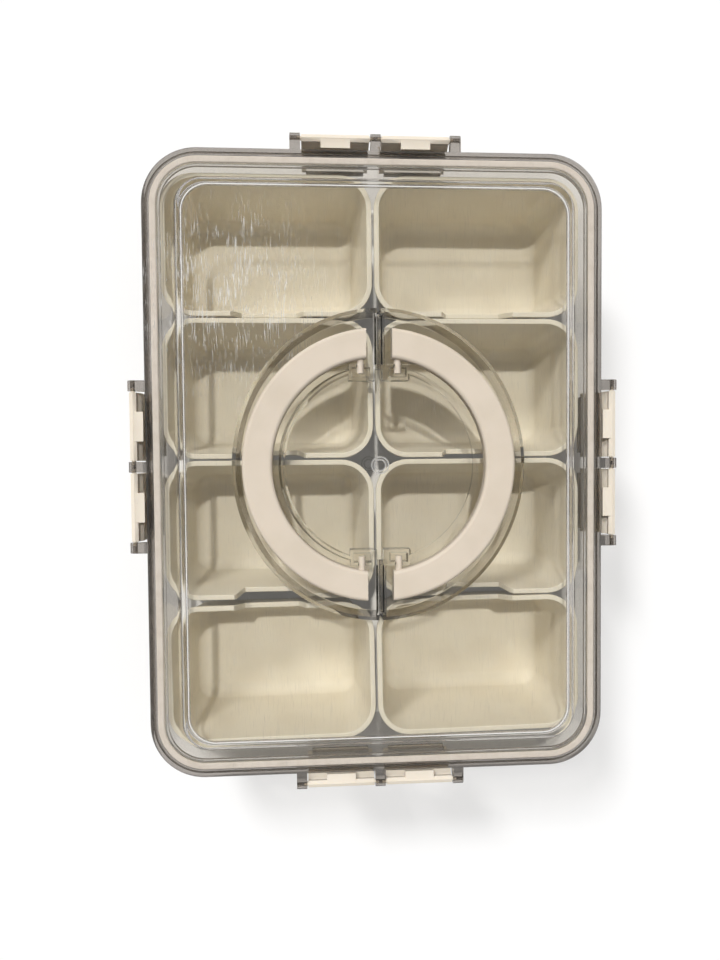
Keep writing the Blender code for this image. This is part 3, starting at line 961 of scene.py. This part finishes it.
def scratches(finish, turn, width, amount):
    """Thin straight scratches in one direction, in patches."""
    lines = finish.noise(width, detail=1, stretch=(1, 0.035, 1), turn=turn, distortion=0.1)
    patches = finish.noise(scratch_patch_size, roughness=0.55, turn=turn)
    shown = finish.band(lines, *scratch_span) * finish.band(patches, *scratch_patch_span)
    return shown * amount


def outward_reach(finish):
    """How far a spot lies out past the middles of the lid's corner curves."""
    inner = (lid_half_x - lid_corner_radius, lid_half_y - lid_corner_radius, 1)
    past = finish.vector("SUBTRACT", finish.vector("ABSOLUTE", finish.place), inner)
    return finish.vector("LENGTH", finish.vector("MAXIMUM", past), output="Value")


def gate_mark(finish):
    """1 on two thin rings about the middle, matt as where plastic was let into a mould."""
    flat = finish.vector("MULTIPLY", finish.place, (1, 1, 0))
    middle = finish.vector("LENGTH", flat, output="Value")
    rings = []
    for radius in (mark_radius, mark_radius - 2 * mark_width):
        inside = finish.band(middle, radius - mark_width, radius)
        rings.append(inside * finish.band(middle, radius + mark_width, radius))
    return rings[0] + rings[1]


def clear_plastic(name, tint, painted_edge_shade_tint, wear, rubbed_place):
    """Clear glossy plastic which lets lamps through, its colour darkened to a painted shade on its
    rim and where it is seen edge-on.

    Handling scratches lie all over it, and most of them around rubbed_place.
    """
    finish = Finish(bpy.data.materials.new(name))
    reach = finish.vector("DISTANCE", finish.place, rubbed_place, "Value")
    rubbed = finish.band(reach, *rubbed_span)
    amount = wear * (unrubbed_share + (1 - unrubbed_share) * rubbed)
    marks = gate_mark_share * gate_mark(finish)
    for turn, width, share in scratch_sets:
        marks = marks + scratches(finish, turn, width, share * amount)
    haze = finish.band(finish.noise(haze_size, detail=4, roughness=0.6), *haze_span)
    gloss = clear_roughness + haze_roughness * haze + scratch_roughness * marks
    relief = finish.bump(finish.noise(ripple_size, detail=1), ripple_bump, ripple_depth)
    relief = finish.bump(marks, scratch_bump, scratch_depth, relief)
    slant = finish.add("LayerWeight", {}, {"Blend": 0.5}, "Facing")
    # Painted shade: the colour darkens towards the dark tint on the rim band and on faces seen
    # edge-on, standing in for the dark surroundings refracted there
    rim_start = lid_corner_radius - skirt_wall
    painted_rim_shade = finish.band(outward_reach(finish), rim_start - painted_rim_shade_blend, rim_start + 2 * painted_rim_shade_blend)
    shade = finish.mix(finish.band(slant, *painted_edge_shade_span) + painted_rim_shade, tint, painted_edge_shade_tint)
    glass = finish.add("BsdfPrincipled", {}, {
        "Base Color": shade, "Roughness": gloss, "Normal": relief, "IOR": 1.49,
        "Transmission Weight": 1,
    })
    frosted = finish.add("BsdfPrincipled", {}, {
        "Base Color": (0.85, 0.85, 0.85, 1), "Roughness": 0.5, "Specular IOR Level": 0.8,
    })
    scuffed = finish.add("MixShader", {}, {0: scuffed_share * marks, 1: glass, 2: frosted})
    through = finish.add("BsdfTransparent", {}, {"Color": (0.97, 0.967, 0.96, 1)})
    shadow_ray = finish.add("LightPath", output="Is Shadow Ray")
    open_share = shadow_ray * (1 - shadow_share * finish.band(slant, *shadow_slant_span))
    return finish.surface(finish.add("MixShader", {}, {0: open_share, 1: scuffed, 2: through}))


def seen_rays(finish):
    """1 for rays that show the background: straight to the camera, in gloss and through glass."""
    seen = finish.add("LightPath", output="Is Camera Ray")
    seen = seen + finish.add("LightPath", output="Is Glossy Ray")
    seen = seen + finish.add("LightPath", output="Is Transmission Ray")
    return finish.band(seen, 0, 1)


def add_sun(name, place, strength, spread):
    """A far lamp that shines from place to the middle and isn't seen in gloss or through glass."""
    lamp = bpy.data.lights.new(name, "SUN")
    lamp.energy = strength
    lamp.angle = spread
    sun = bpy.data.objects.new(name, lamp)
    sun.location = place
    sun.rotation_euler = Vector(place).to_track_quat("Z", "Y").to_euler()
    sun.visible_glossy = False
    sun.visible_transmission = False
    bpy.context.scene.collection.objects.link(sun)


# Finishes of this box
cream = moulded_plastic(
    "cream cup plastic", colour(231, 223, 203), colour(226, 217, 196), roughness=0.3
)
ivory = moulded_plastic(
    "ivory handle plastic", colour(223, 210, 193), colour(217, 204, 186), roughness=0.38
)
clip_ivory = moulded_plastic(
    "ivory clip plastic", colour(237, 227, 211), colour(232, 221, 204), roughness=0.4
)
seal_rubber = soft_rubber("white seal rubber", colour(228, 218, 207), colour(220, 209, 197))
lid_tint = (0.965, 0.96, 0.948, 1)
# The base's warm grey tint is partly its own and partly painted shade: it is darker than the
# lid's, so that what lies under the box looks shaded through it
base_tint_and_painted_shade = (0.9, 0.872, 0.82, 1)
# Painted shade: the dark colour that clear plastic takes on its rim and where it is seen edge-on
painted_edge_shade_tint = (0.4, 0.37, 0.34, 1)
lid_rubbed_place = (-75 * MM, 85 * MM, plateau_top)
base_rubbed_place = (0, -lid_half_y, base_height / 2)
lid_plastic = clear_plastic(
    "clear lid plastic", lid_tint, painted_edge_shade_tint, wear=1, rubbed_place=lid_rubbed_place
)
base_plastic = clear_plastic(
    "clear base plastic", base_tint_and_painted_shade, painted_edge_shade_tint, wear=0.5, rubbed_place=base_rubbed_place
)

# Pieces
make_base(base_plastic)
make_lid(lid_plastic)
make_seal(seal_rubber)
make_handle("handle_half_left", "handle_left", ivory, -1)
make_handle("handle_half_right", "handle_right", ivory, 1)
for clip in CLIPS:
    make_clip(clip, clip_ivory)
for cup in CUPS:
    make_cup(cup, cream)

# Floor, white to the camera wherever no shadow falls
floor_half = 20
floor_glow = 0.04
floor_mesh = bmesh.new()
bmesh.ops.create_grid(floor_mesh, x_segments=1, y_segments=1, size=floor_half)
floor = as_object("floor", floor_mesh)
floor_finish = Finish(bpy.data.materials.new("pale floor"))
paper = floor_finish.add("BsdfDiffuse", {}, {"Color": (0.93, 0.93, 0.93, 1)})
glow = floor_finish.add(
    "Emission", {}, {"Color": (1, 1, 1, 1), "Strength": floor_glow * seen_rays(floor_finish)}
)
floor.data.materials.append(
    floor_finish.surface(floor_finish.add("AddShader", {}, {0: paper, 1: glow}))
)

# Surroundings, from straight below to straight above: dim as light on the pieces, and pale below
# where they are seen as the background
all_round_stops = [
    (0.0, (0.12, 0.118, 0.115, 1)), (0.3, (0.2, 0.197, 0.193, 1)), (0.7, (0.27, 0.265, 0.26, 1)),
    (1.0, (0.38, 0.375, 0.37, 1)),
]
background_stops = [
    (0.0, (0.95, 0.95, 0.95, 1)), (0.45, (0.9, 0.9, 0.9, 1)), (0.75, (0.3, 0.295, 0.29, 1)),
    (1.0, (0.38, 0.375, 0.37, 1)),
]
room = bpy.data.worlds.new("studio")
bpy.context.scene.world = room
studio = Finish(room)
aim = studio.add("TexCoord", output="Generated")
height = studio.add("SeparateXYZ", {}, {0: aim}, "Z")
dim = studio.add("ValToRGB", {"stops": all_round_stops}, {0: height})
pale = studio.add("ValToRGB", {"stops": background_stops}, {0: height})
room_colour = studio.mix(seen_rays(studio), dim, pale)
studio.add("OutputWorld", {}, {"Surface": studio.add("Background", {}, {"Color": room_colour})})

# Lamps: a small one for the shadows and a broad one to soften them
add_sun("key", place=(-0.12, 0.40, 1.15), strength=1.66, spread=math.radians(2))
add_sun("window", place=(-0.75, 1.15, 1.2), strength=1.35, spread=math.radians(12))

# Camera, at the photograph's place almost straight above
camera_place = (-0.0340, 0.0046, 0.4352)
camera_turn = Vector((-0.03271, -0.06625, -0.00999))
camera_data = bpy.data.cameras.new("camera")
camera_data.lens = 27
camera_data.sensor_width = 36
camera_data.clip_start = 10 * MM
camera = bpy.data.objects.new("camera", camera_data)
turned = Matrix.Rotation(camera_turn.length, 4, camera_turn)
camera.matrix_world = Matrix.Translation(camera_place) @ turned
bpy.context.scene.collection.objects.link(camera)
bpy.context.scene.camera = camera
bpy.context.scene.view_settings.view_transform = "Standard"

bpy.context.view_layer.update()
